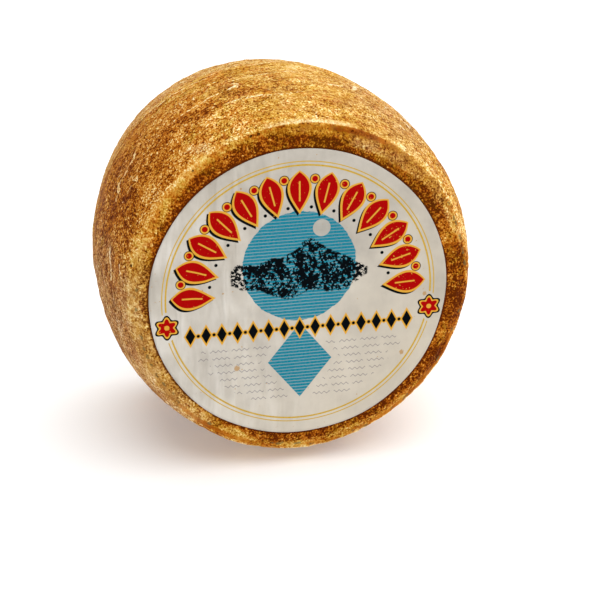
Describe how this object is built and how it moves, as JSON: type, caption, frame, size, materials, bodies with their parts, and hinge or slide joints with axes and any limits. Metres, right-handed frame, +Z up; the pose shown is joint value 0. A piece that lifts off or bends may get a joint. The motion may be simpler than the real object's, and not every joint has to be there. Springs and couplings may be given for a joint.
{
  "type": "pecorino cheese wheel",
  "caption": "Whole aged sheep's-milk cheese: a thick drum with bulging sides, standing on its edge, with a round paper label on one face.",
  "frame": {"origin": "on the floor under the middle of the wheel: the centre of the bounding box's bottom", "axes": "+Z up; the wheel's axis of turning runs along Y, and the labelled face looks towards -Y; +X is to the right of someone who faces the label"},
  "size_m": [0.1996, 0.1326, 0.1988],
  "materials": {
    "rind": "oiled natural rind, golden ochre mottled with brown",
    "label_paper": null
  },
  "bodies": {
    "root": {"cheese": "rind", "label": "label_paper"}
  },
  "joints": []
}
